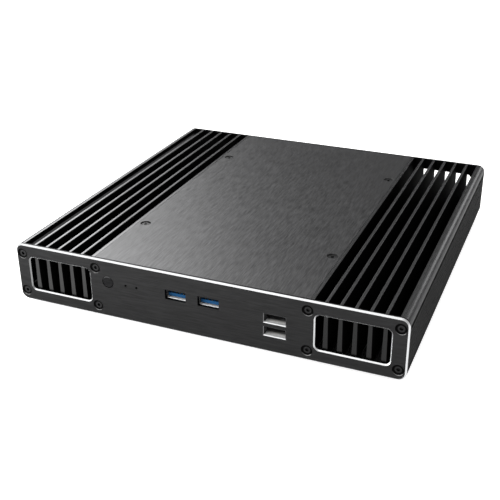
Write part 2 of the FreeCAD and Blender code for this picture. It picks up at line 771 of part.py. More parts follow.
USB3_BOARD_HOLES = make_board("usb3_board", ("-3.45", "-104.5", USB3_UNDER), "50", "25",
                              [("-21.5", "9"), ("21.5", "9")])
USB2_BOARD_HOLES = make_board("usb2_board", ("usb2_across", "-102.5", USB2_BOARD), "19", "34",
                              [("-6", "13"), ("6", "13")])
MOUNT = "(board_side / 2 - board_inset)"
BOARD_Y = "(board_rear - board_side / 2)"
MAIN_HOLES = make_board("main_board", ("0", BOARD_Y, BOARD_UNDER), "board_side", "board_side",
                        [(f"{side} * {MOUNT}", f"{end} * {MOUNT}") for side, end in CORNERS])
HANG = f"({CEILING} - {BOARD_OVER})"
make_posts("main_board_posts", [(x, y, BOARD_OVER) for x, y in MAIN_HOLES], "z", HANG)
make_posts("usb3_board_posts", [(x, y, f"{USB3_UNDER} + board_thick") for x, y in USB3_BOARD_HOLES],
           "z", f"{CEILING} - {USB3_UNDER} - board_thick")
make_posts("usb2_board_posts", [(x, y, FLOOR) for x, y in USB2_BOARD_HOLES], "z",
           f"{USB2_BOARD} - {FLOOR}")

board_screw = make_pan_screw("board_screw", "5.5")
hanging = [(x, y, BOARD_UNDER) for x, y in MAIN_HOLES]
hanging += [(x, y, USB3_UNDER) for x, y in USB3_BOARD_HOLES]
standing = [(x, y, f"{USB2_BOARD} + board_thick") for x, y in USB2_BOARD_HOLES]
facing = [(x, f"{BUTTON_BOARD_Y} + board_thick", z) for x, z in BUTTON_POSTS]
node("board_screws", group("board_screws", [
    *copies("hanging_board_screw", board_screw, hanging, DOWN),
    *copies("standing_board_screw", board_screw, standing),
    *copies("facing_board_screw", board_screw, facing, FACING_REAR)]))

# Rear sockets, hung from the main board with their faces in the rear panel
REAR_PLANE = f"({FACE} - {REAR_FACE})"


def rear_block(name, socket, wide=None):
    """Outer block of a rear socket."""
    across, own_wide, tall, deep = socket
    return block(name, (f"-1 * {across}", f"{REAR_PLANE} - {deep} / 2", f"{BOARD_UNDER} - {tall}"),
                 (wide or own_wide, deep, tall))


def rear_mouth(name, socket, level, wide, tall, deep):
    """Space cut into a rear socket from its face."""
    return block(name, (f"-1 * {socket[0]}", f"{REAR_PLANE} - {deep} / 2 + 0.5",
                        f"{level} - {tall} / 2"), (wide, f"{deep} + 1", tall))


def rear_tongue(name, socket, level, wide, tall, deep):
    """Contact tongue that stands 1 mm back from a rear socket's face."""
    return block(name, (f"-1 * {socket[0]}", f"{REAR_PLANE} - 1 - {deep} / 2",
                        f"{level} - {tall} / 2"), (wide, deep, tall))


usb_levels = [f"({BOARD_UNDER} - 7.8 + {side} * 3.9)" for side in BOTH_SIDES]
node("rear_usb_shell", cut("rear_usb_shell", rear_block("rear_usb_block", DOUBLE_USB), [
    rear_mouth("rear_usb_mouth", DOUBLE_USB, level, MOUTH_WIDE, MOUTH_TALL, "14")
    for level in usb_levels]))
node("rear_usb_tongues", group("rear_usb_tongues", [
    rear_tongue("rear_usb_tongue", DOUBLE_USB, f"{level} - 1.05", TONGUE_WIDE, TONGUE_TALL, "13")
    for level in usb_levels]))

wide_level, small_level = f"({BOARD_UNDER} - 2.75)", f"({BOARD_UNDER} - 2.7)"
node("rear_video_shells", group("rear_video_shells", [
    cut("wide_video_shell", rear_block("wide_video_block", WIDE_VIDEO), [
        rear_mouth("wide_video_mouth", WIDE_VIDEO, wide_level, "14.1", "4.6", "10")]),
    cut("small_video_shell", rear_block("small_video_block", SMALL_VIDEO), [
        rear_mouth("small_video_mouth", SMALL_VIDEO, small_level, "7.5", "4.6", "9")])]))
node("rear_video_tongues", group("rear_video_tongues", [
    rear_tongue("wide_video_tongue", WIDE_VIDEO, wide_level, "11.6", "1.1", "9"),
    rear_tongue("small_video_tongue", SMALL_VIDEO, small_level, "5.2", "1.3", "8")]))

network_level = f"({BOARD_UNDER} - 6.9)"
node("rear_network_jack", cut("rear_network_jack", rear_block("network_block", NETWORK), [
    rear_mouth("network_mouth", NETWORK, network_level, "11.8", "7", "13"),
    rear_mouth("network_latch", NETWORK, f"{BOARD_UNDER} - 11.2", "6.2", "1.8", "13")]))

JACK_AXIS_Z = f"({BOARD_UNDER} - 5.4)"
JACK_X = f"-1 * {POWER[0]}"
node("rear_power_jack", cut("rear_power_jack", rear_block("jack_block", POWER), [
    rod("jack_bore", (JACK_X, f"{REAR_PLANE} - 10", JACK_AXIS_Z), "y", "2.9", "11")]))
node("rear_power_pin", rod("rear_power_pin", (JACK_X, f"{REAR_PLANE} - 10", JACK_AXIS_Z), "y",
                           "1.2", "9"))

aerial_plugs = []
for side in BOTH_SIDES:
    x = f"{side} * button_across"
    stopper = rod("plug_stopper", (x, INSIDE, AERIAL_HIGH), "y", AERIAL_RADIUS, "panel_thick")
    brim = rod("plug_brim", (x, f"{INSIDE} - 1.2", AERIAL_HIGH), "y", f"{AERIAL_RADIUS} + 1.3",
               "1.2")
    aerial_plugs.append(fuse("aerial_plug", [stopper, brim]))
node("aerial_hole_plugs", group("aerial_hole_plugs", aerial_plugs))


# ---- processor and its heat path ----

CHIP_Y = "72"
PAD_THICK, DIE_TOP = "0.4", f"({BOARD_OVER} + 1.9)"
node("processor", group("processor", [
    block("processor_base", ("0", CHIP_Y, BOARD_OVER), ("42", "28", "1.2")),
    block("processor_die", ("-6", CHIP_Y, f"{BOARD_OVER} + 1.2"), ("16", "12", "0.7"))]))
BLOCK_LOW, BLOCK_TALL = f"({DIE_TOP} + {PAD_THICK})", f"({CEILING} - {DIE_TOP} - 2 * {PAD_THICK})"
node("thermal_pads", group("thermal_pads", [
    block("die_pad", ("-6", CHIP_Y, DIE_TOP), ("16", "12", PAD_THICK)),
    block("cover_pad", ("0", CHIP_Y, f"{CEILING} - {PAD_THICK}"), ("44", "50", PAD_THICK))]))
BLOCK_SCREWS = [(f"{side} * 26", f"{CHIP_Y} + {end} * 20") for side, end in CORNERS]
block_holes = [rod("block_hole", (x, y, BLOCK_LOW), "z", "tapped_radius", BLOCK_TALL)
               for x, y in BLOCK_SCREWS]
heat_block = block("heat_block", ("0", CHIP_Y, BLOCK_LOW), ("60", "50", BLOCK_TALL))
node("processor_block", cut("processor_block", heat_block, block_holes))
block_screw = make_pan_screw("block_screw", f"{BLOCK_TALL} + {PAD_THICK}")
copy_group("block_screws", block_screw, [(x, y, BLOCK_LOW) for x, y in BLOCK_SCREWS], DOWN)

chokes = [block("choke", (f"-35 + {index} * 8.5", "104", BOARD_OVER), ("7", "7", "3"))
          for index in range(5)]
node("power_chokes", group("power_chokes", chokes))
cans = [rod("capacitor", (f"14 + {index} * 7.5", "104", BOARD_OVER), "z", "3", "5.4")
        for index in range(4)]
node("capacitors", group("capacitors", cans))


# ---- memory, cards, cell and drive ----

MEMORY_X = "13.5"
memory_sockets, memory_modules = [], []
for tier in (1, 2):
    drop = f"{tier} * 4.6"
    y = f"56 + {tier} * 4"
    memory_sockets.append(block("memory_socket", (MEMORY_X, y, f"{BOARD_UNDER} - {drop}"),
                                ("72", "3.6", drop)))
    memory_modules.append(block("memory_module", (MEMORY_X, f"{y} - 16.8",
                                                  f"{BOARD_UNDER} - {drop} + 0.8"),
                                ("67.6", "30", "1.2")))
node("memory_sockets", group("memory_sockets", memory_sockets))
node("memory_modules", group("memory_modules", memory_modules))

CARD_LOW = f"({BOARD_UNDER} - 3.2)"
STORAGE_Y, WIRELESS_X = "78", "-37.5"
node("card_sockets", group("card_sockets", [
    block("storage_socket", ("42", STORAGE_Y, f"{BOARD_UNDER} - 4.2"), ("6", "22", "4.2")),
    block("wireless_socket", (WIRELESS_X, "60.5", f"{BOARD_UNDER} - 4.2"), ("22", "6", "4.2"))]))
node("storage_card", block("storage_card", ("-1", STORAGE_Y, CARD_LOW), ("80", "22", "0.8")))
node("wireless_card", block("wireless_card", (WIRELESS_X, "42.5", CARD_LOW), ("22", "30", "0.8")))
CARD_ENDS = [("-43.2", STORAGE_Y), (WIRELESS_X, "25.4")]
CARD_GAP = f"({BOARD_UNDER} - {CARD_LOW} - 0.8)"
card_screws = []
for x, y in CARD_ENDS:
    pillar = rod("card_pillar", (x, y, f"{BOARD_UNDER} - {CARD_GAP} - 0.8"), "z", "2",
                 f"{CARD_GAP} + 0.8")
    cap_disc = rod("card_screw_head", (x, y, f"{CARD_LOW} - 1"), "z", "2.6", "1")
    card_screws.append(fuse("card_screw", [pillar, cap_disc]))
node("card_screws", group("card_screws", card_screws))

CELL_X, CELL_Y = "-36", "33"
holder = rod("holder_disc", (CELL_X, CELL_Y, BOARD_OVER), "z", "11.4", "4.4")
well = rod("holder_well", (CELL_X, CELL_Y, f"{BOARD_OVER} + 1"), "z", "10.15", "3.5")
node("coin_cell_holder", cut("coin_cell_holder", holder, [well]))
node("coin_cell", rod("coin_cell", (CELL_X, CELL_Y, f"{BOARD_OVER} + 1.05"), "z", "10", "3.2"))

DRIVE_LOW = FLOOR
drive_case = block("drive_case", (DRIVE_X, DRIVE_Y, DRIVE_LOW),
                   ("drive_wide", "drive_long", "drive_tall"))
drive_holes = [rod("drive_hole", (x, y, DRIVE_LOW), "z", "tapped_radius", "3")
               for x, y in DRIVE_SCREWS]
node("storage_drive", cut("storage_drive", drive_case, drive_holes))


# ---- internal cables ----


def bend_path(points):
    """Straight runs joined by tangent arcs as large as the shorter run beside each allows."""
    edges, start = [], points[0]
    for before, corner, after in zip(points, points[1:], points[2:]):
        back, ahead = before - corner, after - corner
        turn = math.pi - back.getAngle(ahead)
        reach = 0.45 * min(back.Length, ahead.Length)
        radius = reach / math.tan(turn / 2)
        enter = corner + back * (reach / back.Length)
        leave = corner + ahead * (reach / ahead.Length)
        inward = (back * (1 / back.Length) + ahead * (1 / ahead.Length)).normalize()
        sagitta = radius / math.cos(turn / 2) - radius
        edges.append(Part.LineSegment(start, enter).toShape())
        edges.append(Part.Arc(enter, corner + inward * sagitta, leave).toShape())
        start = leave
    edges.append(Part.LineSegment(start, points[-1]).toShape())
    return Part.Wire(edges)


def make_cable(label, radius, route):
    points = [Vector(*(size(text) for text in point)) for point in route]
    path = bend_path(points)
    section = Part.Wire(Part.makeCircle(radius, points[0], points[1] - points[0]))
    cable = doc.addObject("Part::Feature", label)
    cable.Shape = path.makePipeShell([section], True, False)
    cable.Placement = FreeCAD.Placement()
    node(label, cable)


HEADER_Z = f"{BOARD_UNDER} - 2"
HEADER_Y = "20"
USB2_CABLE_Z = f"{USB2_BOARD} + board_thick + 2"
HEADERS = [
    (("-37", HEADER_Y, f"{BOARD_UNDER} - 4"), ("8", "5", "4")),
    (("32", HEADER_Y, f"{BOARD_UNDER} - 4"), ("8", "5", "4")),
    (("4", HEADER_Y, f"{BOARD_UNDER} - 4"), ("8", "5", "4")),
    (("-14", HEADER_Y, f"{BOARD_UNDER} - 4"), ("8", "5", "4")),
    (("-3.45", "-94.5", f"{USB3_UNDER} - 4"), ("9", "5", "4")),
    (("usb2_across", "-99", f"{USB2_BOARD} + board_thick"), ("9", "5", "4")),
    (("-44", f"{BUTTON_BOARD_Y} + board_thick + 2", "foot_tall + 22"), ("8", "4", "4")),
    ((DRIVE_X, "-4", f"{DRIVE_LOW} + 1"), ("40", "8", "5")),
]
node("cable_headers", group("cable_headers", [block("header", *spot) for spot in HEADERS]))

FRONT_END = f"{HEADER_Y} - 2.5"
make_cable("switch_cable", 1.0, [
    ("-44", f"{BUTTON_BOARD_Y} + board_thick + 4", "foot_tall + 24"),
    ("-44", "-92", "foot_tall + 24"), ("-50", "-55", "foot_tall + 18"),
    ("-49", "-18", "foot_tall + 20"), ("-37", "4", HEADER_Z), ("-37", FRONT_END, HEADER_Z)])
make_cable("usb3_cable", 2.0, [
    ("-3.45", "-92", f"{USB3_UNDER} - 2"), ("-3.45", "-76", f"{USB3_UNDER} - 2"),
    ("4", "-40", "foot_tall + 20"),
    ("9", "-12", "foot_tall + 22"), ("4", "6", HEADER_Z), ("4", FRONT_END, HEADER_Z)])
make_cable("usb2_cable", 1.6, [
    ("usb2_across", "-96.5", USB2_CABLE_Z), ("usb2_across", "-80", USB2_CABLE_Z),
    ("44", "-44", "foot_tall + 16"), ("36", "-14", "foot_tall + 20"), ("32", "4", HEADER_Z),
    ("32", FRONT_END, HEADER_Z)])
make_cable("drive_cable", 1.6, [
    (DRIVE_X, "0", "foot_tall + 6.5"), (DRIVE_X, "9", "foot_tall + 6.5"),
    ("-14", HEADER_Y, "foot_tall + 14"), ("-14", HEADER_Y, f"{BOARD_UNDER} - 4")])


# ---- checks and files ----

doc.recompute()
for item in doc.Objects:
    if "Invalid" in item.State or "Error" in item.State:
        raise RuntimeError(f"{item.Label} did not recompute")
for label, target in nodes.items():
    if target.Shape.isNull() or not target.Shape.isValid() or not target.Shape.Solids:
        raise RuntimeError(f"{label} has no valid solid")

os.makedirs("parts", exist_ok=True)
for label, target in nodes.items():
    target.Shape.exportStep(f"parts/{label}.step")
print(len(nodes), "sub-parts written")
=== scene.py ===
"""Looks of a fanless mini computer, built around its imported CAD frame.

Materials and detail pieces are given in millimetres and scaled to metres on the way in.
"""
import math
import random

import bmesh
import bpy
from mathutils import Matrix, Vector


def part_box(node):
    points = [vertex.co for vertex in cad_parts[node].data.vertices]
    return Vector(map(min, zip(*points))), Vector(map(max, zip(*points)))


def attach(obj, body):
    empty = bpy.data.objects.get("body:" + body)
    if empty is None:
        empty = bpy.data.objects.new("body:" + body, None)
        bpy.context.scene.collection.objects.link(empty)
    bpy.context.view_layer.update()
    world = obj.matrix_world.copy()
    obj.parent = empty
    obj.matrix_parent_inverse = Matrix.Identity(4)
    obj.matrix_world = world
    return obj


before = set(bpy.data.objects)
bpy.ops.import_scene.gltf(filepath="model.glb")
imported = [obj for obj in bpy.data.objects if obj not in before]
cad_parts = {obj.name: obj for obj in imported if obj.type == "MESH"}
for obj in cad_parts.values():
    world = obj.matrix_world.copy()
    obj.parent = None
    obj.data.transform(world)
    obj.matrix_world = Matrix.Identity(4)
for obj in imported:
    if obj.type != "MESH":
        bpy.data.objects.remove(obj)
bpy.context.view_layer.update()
random.seed(7)


# ---- places, in millimetres ----

MM = 0.001


def corners(name):
    """Low and high corners of a node's box."""
    return tuple(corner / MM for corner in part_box(name))


def centre(name):
    """Middle of a node's box."""
    low, high = corners(name)
    return (low + high) / 2


CASE_LOW, CASE_HIGH = corners("left_heatsink")
CASE_TOP, CASE_SIDE = CASE_HIGH.z, -CASE_LOW.x
PANEL_MIDDLE = centre("front_panel").z
BOARD_UNDER, BOARD_OVER = (corner.z for corner in corners("main_board"))
REAR_MOUTH = corners("rear_usb_shell")[1].y

# Countersunk screws, as distances from the middle of the panel or the cover
PANEL_SCREWS, SCREW_RISE = (67.1, 119), 12.75
COVER_SCREW_X, COVER_SCREW_Y = 63.2, 66.3
# Radii about a screw: its sink, the part of the sink next to its head that is painted in shade, and
# the middle of the head that its painted shade leaves out
SINK_REACH, HEAD_REACH, HEAD_CROWN = 3.6, 3.15, 2.0

# Front sockets: the USB 3 ones stand to each side of their middle, the USB 2 ones are stacked
USB3_SHELL_WIDE = 13.2
USB3_MIDDLE, USB2_MIDDLE = centre("front_usb3_shells"), centre("front_usb2_shell")
USB3_APART = corners("front_usb3_shells")[1].x - USB3_SHELL_WIDE / 2 - USB3_MIDDLE.x


# ---- node materials ----

BARE_METAL = (0.55, 0.555, 0.56)
# Painted lit and shaded tones for the slot lips and screw sinks, picked by which way a face looks
LIP_LIT, LIP_SHADED = (0.36, 0.36, 0.365), (0.12, 0.12, 0.121)
SINK_LIT, SINK_SHADED = (0.16, 0.16, 0.16), (0.002, 0.002, 0.002)
# Painted shade on the slopes of the cover's screw sinks
COVER_SINK_SHADE = (0.02, 0.02, 0.02)
# Painted shade for the left grille's bevels that face right
SHADED_LEFT_BEVEL = (0.21, 0.211, 0.212)
# Painted shade in the heatsink channels and on the outer walls' flat faces
CHANNEL_SHADE, WALL_SHADE = (0.005, 0.005, 0.005), (0.032, 0.032, 0.032)
SAWN_LEFT, SAWN_RIGHT = 0.038, 0.022
MOUTH_SHADOW = (0.054, 0.054, 0.054)

# Region of the USB 2 slots, as axis, middle and half size
USB2_SLOTS = ((0, USB2_MIDDLE.x, 7.2), (2, 20.6, 8))
# Along X, the left grille lies beyond this level, and the sawn ends' shade changes in this span
LEFT_GRILLE, SAWN_SPAN = -60, 60
# Thickness of the outer walls, of the layer at their flat outer face, and of the fins' bright tops
WALL_DEEP, FACE_DEEP, TOP_DEEP = 5.4, 0.1, 0.4
# Distance from a front socket's middle to its side rims, and levels along Y where its painted
# shadow deepens
MOUTH_RIM, MOUTH_DARKENS = 5.9, (-118.8, -116.6)

# How far a normal points along an axis where a face is square to it, turned up, or quite flat
SQUARE, UPTURNED, FLAT = 0.9, 0.3, 0.99
# How much a cut at 45 degrees may differ from that
SLANT_SLACK = 0.12

# Roughness of the brushed lines, of the same lines on the extrusions, and of their matt skin
BRUSHED_ROUGH, TOP_ROUGH, SKIN_ROUGH = (0.33, 0.45), (0.24, 0.32), 0.75


class Paint:
    """A material built up from its Principled shader."""

    def __init__(self, name, colour, roughness, metallic=0.0, **constants):
        self.material = bpy.data.materials.new(name)
        self.material.use_nodes = True
        self.tree = self.material.node_tree
        self.shader = self.tree.nodes["Principled BSDF"]
        self.set("Base Color", (*colour, 1))
        self.set("Metallic", metallic)
        self.set("Roughness", roughness)
        for socket, value in constants.items():
            self.set(socket.replace("_", " "), value)

    def set(self, socket, value):
        """Give one of the shader's own sockets a constant, or the output of another node."""
        if isinstance(value, bpy.types.NodeSocket):
            self.tree.links.new(value, self.shader.inputs[socket])
        else:
            self.shader.inputs[socket].default_value = value

    def node(self, kind, settings=None, **inputs):
        """New node. Keyword names are its input sockets: _0 for the first, or a name."""
        made = self.tree.nodes.new(f"ShaderNode{kind}")
        for key, value in (settings or {}).items():
            setattr(made, key, value)
        for key, value in inputs.items():
            socket = made.inputs[int(key[1:]) if key[1:].isdigit() else key.replace("_", " ")]
            if isinstance(value, bpy.types.NodeSocket):
                self.tree.links.new(value, socket)
            else:
                socket.default_value = value
        return made

    def number(self, operation, a, b=0.0):
        """Result of a Math node."""
        return self.node("Math", {"operation": operation}, _0=a, _1=b).outputs[0]

    def place(self, axis):
        """One component of the position in the frame, in millimetres."""
        source = self.node("TexCoord").outputs["Object"]
        return self.number("DIVIDE", self.node("SeparateXYZ", Vector=source).outputs[axis], MM)

    def normal(self, axis):
        """One component of the surface's true normal."""
        source = self.node("NewGeometry").outputs["True Normal"]
        return self.node("SeparateXYZ", Vector=source).outputs[axis]

    def facing(self, axis):
        """How squarely the surface faces along an axis, either way: from 0 to 1."""
        return self.number("ABSOLUTE", self.normal(axis))

    def above(self, value, limit):
        """1 where a value is over a limit."""
        return self.number("GREATER_THAN", value, limit)

    def below(self, value, limit):
        """1 where a value is under a limit."""
        return self.number("LESS_THAN", value, limit)

    def outside(self, mask):
        """1 where a mask is 0."""
        return self.number("SUBTRACT", 1, mask)

    def all_of(self, first, *others):
        """1 where every mask is 1."""
        for other in others:
            first = self.number("MULTIPLY", first, other)
        return first

    def any_of(self, first, *others):
        """1 where at least one mask is 1."""
        for other in others:
            first = self.number("MAXIMUM", first, other)
        return first

    def mapped(self, scale):
        """Position in the frame in metres, scaled along each axis."""
        source = self.node("TexCoord").outputs["Object"]
        return self.node("Mapping", Vector=source, Scale=scale).outputs[0]

    def noise(self, size, detail, stretch=(1, 1, 1)):
        """Noise from 0 to 1 with features of `size` millimetres, longer along some axes."""
        scale = tuple(1 / (size * MM * factor) for factor in stretch)
        return self.node("TexNoise", Vector=self.mapped(scale), Scale=1.0, Detail=detail).outputs[0]

    def spread(self, factor, low, high, start=0.3, end=0.7):
        """Map a factor to a range of values, held at its ends."""
        return self.node("MapRange", Value=factor, From_Min=start, From_Max=end,
                         To_Min=low, To_Max=high).outputs[0]

    def blend(self, factor, first, second):
        """Number between two numbers."""
        return self.node("Mix", _0=factor, _2=first, _3=second).outputs[0]

    def mix(self, factor, first, second):
        """Colour between two colours, each a triple or a socket."""
        def full(colour):
            return colour if isinstance(colour, bpy.types.NodeSocket) else (*colour, 1)
        made = self.node("Mix", {"data_type": "RGBA"}, _0=factor, _6=full(first), _7=full(second))
        return made.outputs[2]

    def bump(self, height, depth, strength):
        """Relief of up to `depth` millimetres."""
        made = self.node("Bump", Height=height, Distance=depth * MM, Strength=strength)
        self.set("Normal", made.outputs[0])

    def nearest(self, axis, places, middle=0.0):
        """Distance along an axis to the nearest of places that are mirrored about a middle."""
        across = self.number("ABSOLUTE", self.number("SUBTRACT", self.place(axis), middle))
        gaps = [self.number("ABSOLUTE", self.number("SUBTRACT", across, at)) for at in places]
        nearest = gaps[0]
        for gap in gaps[1:]:
            nearest = self.number("MINIMUM", nearest, gap)
        return nearest

    def within(self, first, second, radius):
        """1 where two distances make less than a radius."""
        far = self.node("CombineXYZ", X=first, Y=second)
        length = self.node("VectorMath", {"operation": "LENGTH"}, _0=far.outputs[0])
        return self.below(length.outputs["Value"], radius)

    def near_screw(self, radius):
        """1 within a radius of a panel screw's axis."""
        return self.within(self.nearest(0, PANEL_SCREWS),
                           self.nearest(2, (SCREW_RISE,), PANEL_MIDDLE), radius)


def drawn(axis, factor):
    """Stretch of noise that is drawn out along one axis."""
    return tuple(factor if other == axis else 1 for other in range(3))


def anodised(name, dark, light, grain, dress):
    """Brushed black anodised aluminium. `grain` is the axis that the brushing runs along.

    `dress` adds what one kind of part has. It takes and returns the colour and the roughness.
    """
    paint = Paint(name, dark, 0.4, metallic=1.0, Specular_Tint=(0.5, 0.5, 0.5, 1))
    hairline = paint.noise(0.42, 3, drawn(grain, 22))
    streak = paint.noise(0.8, 2, drawn(grain, 60))
    cloud = paint.noise(60, 2)
    brushed = paint.blend(0.2, hairline, streak)
    colour = paint.mix(paint.spread(brushed, 0, 1, 0.36, 0.64), dark, light)
    colour = paint.mix(paint.spread(cloud, 0, 0.12), colour, dark)
    colour, rough = dress(paint, colour, paint.spread(hairline, *BRUSHED_ROUGH))
    paint.set("Base Color", colour)
    paint.set("Roughness", rough)
    paint.bump(hairline, 0.02, 0.3)
    return paint.material


def dress_panel(paint, colour, rough):
    """Outline, grilles, slots and screw sinks, cut bare at 45 degrees after anodising.

    The screw sinks and slot lips are painted lit where they face up and in shade elsewhere,
    next to the heads the sinks are painted in shade, the slots' upturned sills are painted
    bright, and the left grille's bevels that face right are painted in shade.
    """
    lean = paint.number("SUBTRACT", paint.facing(1), math.sqrt(0.5))
    slanted = paint.below(paint.number("ABSOLUTE", lean), SLANT_SLACK)
    upward = paint.spread(paint.normal(2), 0, 1)
    slots = paint.all_of(*(paint.below(paint.nearest(axis, (0,), middle), reach)
                           for axis, middle, reach in USB2_SLOTS))
    shaded_left_bevels = paint.all_of(paint.below(paint.place(0), LEFT_GRILLE),
                              paint.spread(paint.normal(0), 0, 1, 0.2, 0.6))
    # Painted shade on the left grille's bevels: a darker copy of the bare metal
    cut = paint.mix(shaded_left_bevels, BARE_METAL, SHADED_LEFT_BEVEL)
    # Painted light and shade in the screw sinks: lit facing up, shaded elsewhere and next to each
    # head
    cut = paint.mix(paint.near_screw(SINK_REACH), cut, paint.mix(upward, SINK_SHADED, SINK_LIT))
    cut = paint.mix(paint.near_screw(HEAD_REACH), cut, SINK_SHADED)
    # Painted light and shade on the USB 2 slot lips, lit where they face up
    cut = paint.mix(slots, cut, paint.mix(upward, LIP_SHADED, LIP_LIT))
    # Painted highlight: the slots' upturned sills are bare metal, painted bright
    painted_lit_sill = paint.all_of(slots, paint.above(paint.normal(2), UPTURNED))
    paint.set("Metallic", paint.blend(painted_lit_sill, 1.0, 0.1))
    colour = paint.mix(painted_lit_sill, paint.mix(slanted, colour, cut), BARE_METAL)
    return colour, paint.blend(slanted, rough, 0.4)


def dress_cover(paint, colour, rough):
    """Painted shade on the slopes of the screw sinks."""
    sink = paint.within(paint.nearest(0, (COVER_SCREW_X,)), paint.nearest(1, (COVER_SCREW_Y,)),
                        SINK_REACH)
    slope = paint.all_of(sink, paint.outside(paint.above(paint.facing(2), SQUARE)))
    return paint.mix(slope, colour, COVER_SINK_SHADE), rough


def dress_button(paint, colour, rough):
    """Painted highlight along the upper left edge of the turned crown."""
    leftward = paint.number("MULTIPLY", paint.normal(0), -0.6)
    lit = paint.spread(paint.number("ADD", paint.normal(2), leftward), 0, 1, 0.3, 0.8)
    crown_highlight = paint.all_of(lit, paint.below(paint.normal(1), -0.5))
    return paint.mix(crown_highlight, colour, LIP_SHADED), rough


def dress_extrusion(paint, colour, rough):
    """Matt skin with painted shade in the channels, sawn ends, and an outer wall face that is
    matt with painted shade, darker than the tops.

    The sawn ends are painted darker to the right, as the photograph's light shows them.
    """
    across = paint.number("ABSOLUTE", paint.place(0))
    upright = paint.all_of(paint.below(paint.facing(1), SQUARE),
                           paint.below(paint.normal(2), UPTURNED))
    channel = paint.all_of(upright, paint.below(paint.place(2), CASE_TOP - TOP_DEEP),
                           paint.below(across, CASE_SIDE - WALL_DEEP))
    tone = paint.spread(paint.place(0), SAWN_LEFT, SAWN_RIGHT, -SAWN_SPAN, SAWN_SPAN)
    sawn = paint.node("CombineColor", _0=tone, _1=tone, _2=tone).outputs[0]
    wall = paint.all_of(paint.above(paint.facing(0), FLAT),
                        paint.above(across, CASE_SIDE - FACE_DEEP))
    # Painted shade: near black in the channels, darker to the right on the sawn ends, darker on the
    # wall faces
    colour = paint.mix(channel, colour, CHANNEL_SHADE)
    colour = paint.mix(paint.above(paint.facing(1), SQUARE), colour, sawn)
    colour = paint.mix(wall, colour, WALL_SHADE)
    smooth = paint.spread(rough, *TOP_ROUGH, *BRUSHED_ROUGH)
    return colour, paint.blend(paint.any_of(channel, wall), smooth, SKIN_ROUGH)


def metal(name, colour, roughness, metallic=1.0, worn=0.72, darken=None):
    """Rolled, plated or turned metal with faint lines and a slightly uneven gloss.

    `darken` takes and returns the colour, and shades part of the piece.
    """
    paint = Paint(name, colour, roughness, metallic=metallic)
    roll = paint.noise(0.45, 3, drawn(1, 14))
    haze = paint.noise(2.5, 2)
    darker = tuple(worn * channel for channel in colour)
    both = paint.blend(0.4, roll, haze)
    shade = paint.mix(paint.spread(both, 0, 1), darker, colour)
    paint.set("Base Color", darken(paint, shade) if darken else shade)
    paint.set("Roughness", paint.spread(both, roughness * 0.75, roughness * 1.3))
    paint.bump(roll, 0.01, 0.5)
    return paint.material


def darken_mouth(paint, shade):
    """Painted shadow on the side walls and side rims of the front sockets, deeper further in."""
    off_middle = paint.number("MINIMUM", paint.nearest(0, (USB3_APART,), USB3_MIDDLE.x),
                              paint.nearest(0, (0,), USB2_MIDDLE.x))
    rim = paint.all_of(paint.above(off_middle, MOUTH_RIM), paint.below(paint.normal(1), -SQUARE))
    deep = paint.any_of(paint.spread(paint.place(1), 0, 1, *MOUTH_DARKENS),
                        paint.above(paint.facing(0), SQUARE), rim)
    return paint.mix(deep, shade, MOUTH_SHADOW)


def shade_head_rims(paint, shade):
    """Painted shade on the outer part of the panel screw heads."""
    ends = paint.all_of(paint.above(paint.facing(1), SQUARE),
                        paint.outside(paint.near_screw(HEAD_CROWN)))
    return paint.mix(ends, shade, SINK_SHADED)


def plastic(name, colour, roughness, grain=0.4, depth=0.02, **constants):
    """Moulded plastic or rubber with a fine eroded grain."""
    paint = Paint(name, colour, roughness, **constants)
    pits = paint.noise(grain, 4)
    shade = paint.noise(grain * 25, 2)
    lighter = tuple(min(1, 1.25 * channel + 0.001) for channel in colour)
    uneven = paint.spread(paint.blend(0.5, pits, shade), 0, 1)
    paint.set("Base Color", paint.mix(uneven, colour, lighter))
    paint.set("Roughness", paint.spread(pits, roughness * 0.85, min(1, roughness * 1.2)))
    paint.bump(pits, depth, 0.6)
    return paint.material


def laminate(name, colour):
    """Solder-masked circuit board: tracks under the mask and a faint glass weave."""
    paint = Paint(name, colour, 0.35, Coat_Weight=0.3, Coat_Roughness=0.2)
    cells = paint.node("TexVoronoi", {"feature": "F1", "distance": "CHEBYCHEV"},
                       Vector=paint.mapped((420, 420, 420)), Scale=1.0)
    track = paint.below(cells.outputs["Distance"], 0.28)
    weave = paint.noise(0.2, 2)
    lighter = tuple(1.7 * channel for channel in colour)
    paint.set("Base Color", paint.mix(track, colour, lighter))
    paint.set("Roughness", paint.spread(weave, 0.28, 0.45))
    paint.bump(paint.blend(0.5, weave, track), 0.02, 0.4)
    return paint.material


